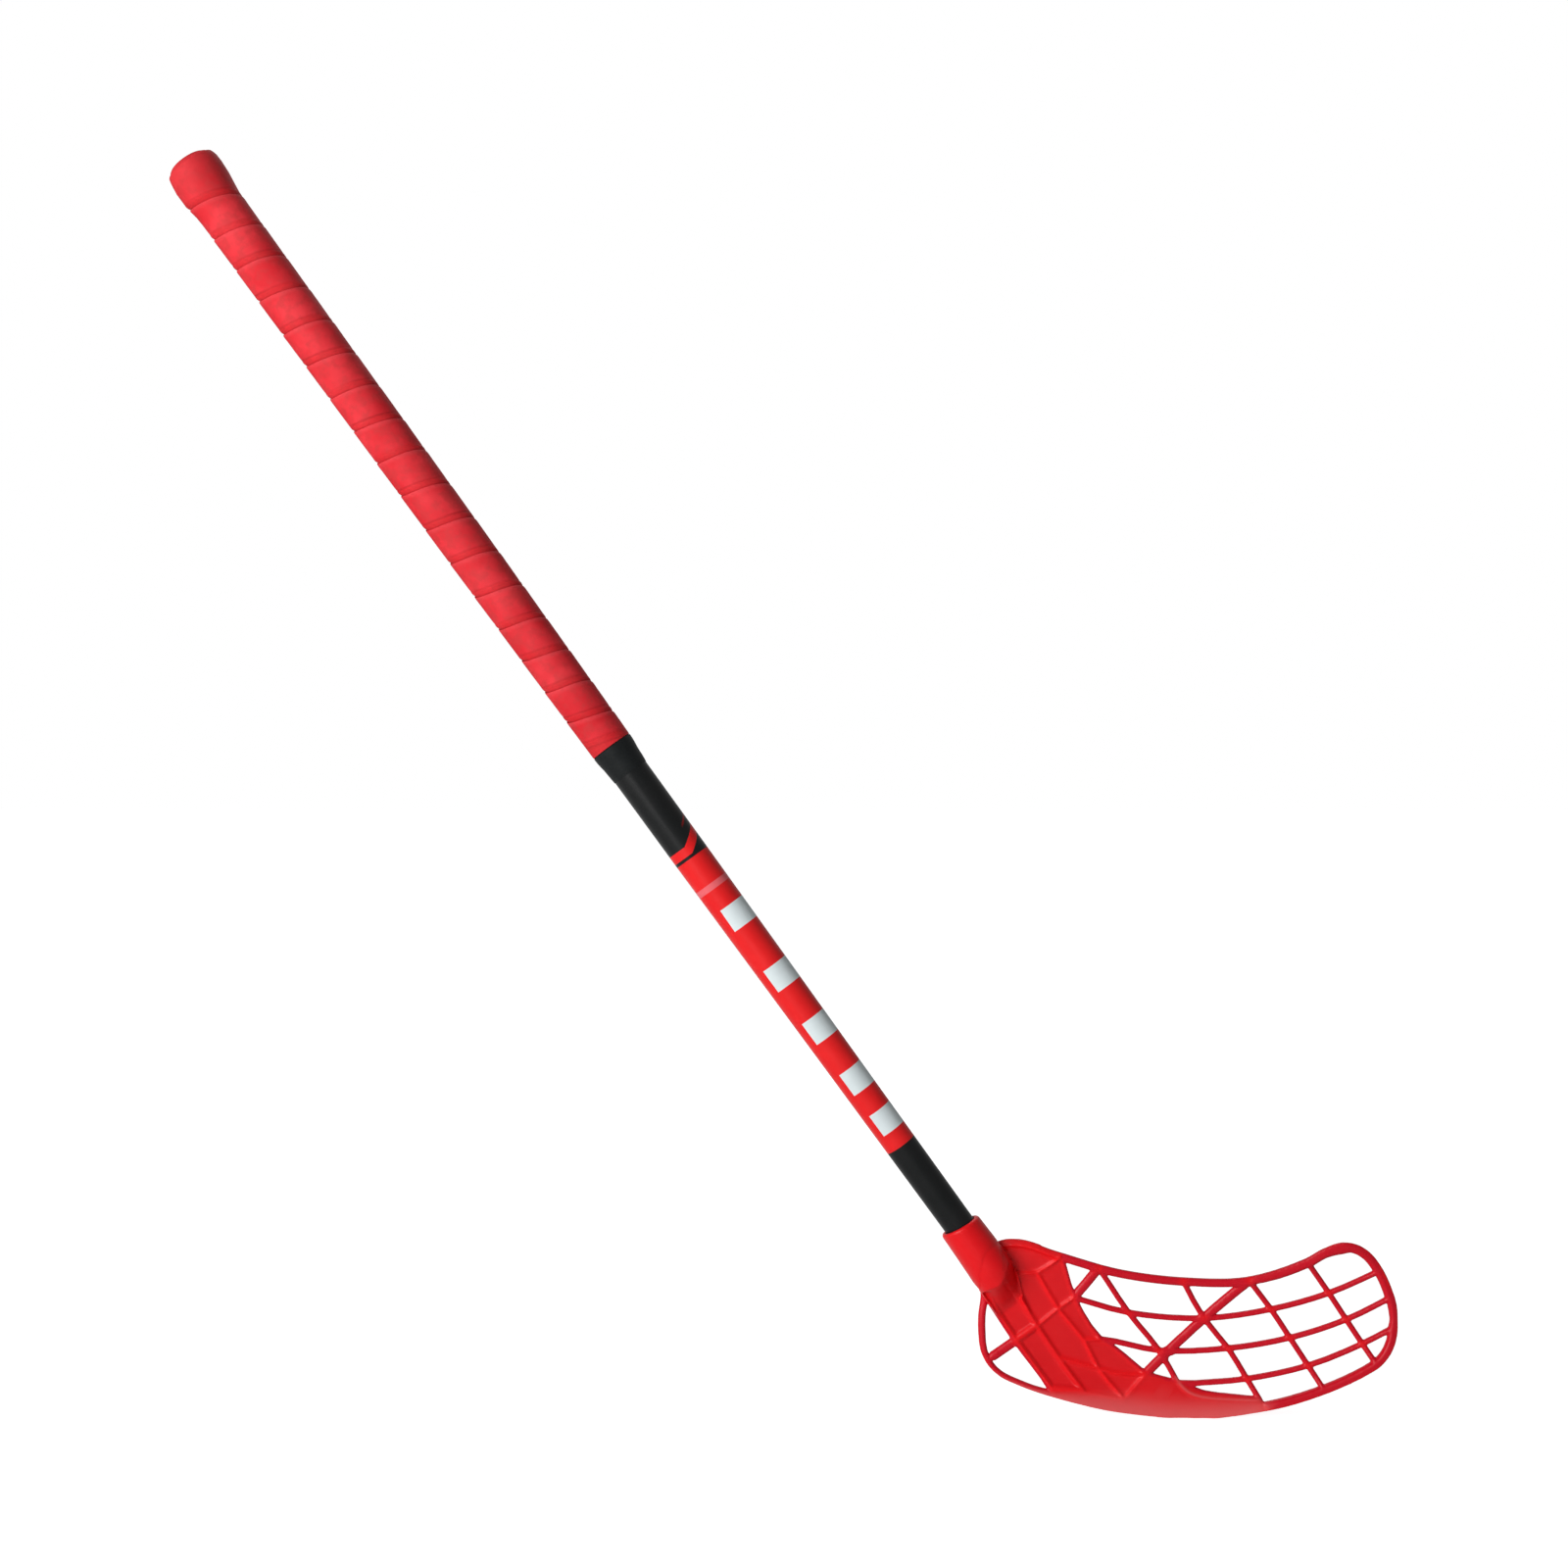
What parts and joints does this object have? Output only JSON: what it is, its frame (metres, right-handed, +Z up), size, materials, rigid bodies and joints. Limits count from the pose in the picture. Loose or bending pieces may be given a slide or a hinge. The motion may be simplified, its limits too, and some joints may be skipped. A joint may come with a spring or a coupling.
{
  "type": "floorball stick",
  "caption": "Floorball stick: a tapering hollow shaft with a spiral-wound grip, and a curved plastic lattice blade screwed on at its hosel.",
  "frame": {"origin": "middle of the blade's sole, where it rests on the floor in play, under the shaft's line", "axes": "+Z up; +X from the blade's heel towards its toe; +Y away from the striking side, which faces -Y; the shaft rises from the heel towards -X at 54 degrees to the floor"},
  "size_m": [0.8065, 0.0373, 0.8348],
  "materials": {
    "shaft_lacquer": "glossy lacquer on a fibre composite tube: red, with black zones above and below, pale blocks and thin stripes",
    "grip_tape": "matt red polyurethane tape",
    "finishing_tape": "matt black tape",
    "blade_plastic": "satin red moulded plastic",
    "cap_rubber": "matt red",
    "ring_foam": "matt grey foam, hidden",
    "screw_steel": "plain steel"
  },
  "bodies": {
    "root": {"shaft_tube": "shaft_lacquer", "blade": "blade_plastic", "blade_screw_1": "screw_steel", "blade_screw_2": "screw_steel", "butt_cap": "cap_rubber", "knob_ring": "ring_foam", "grip_tape": "grip_tape", "finishing_band": "finishing_tape"}
  },
  "joints": []
}
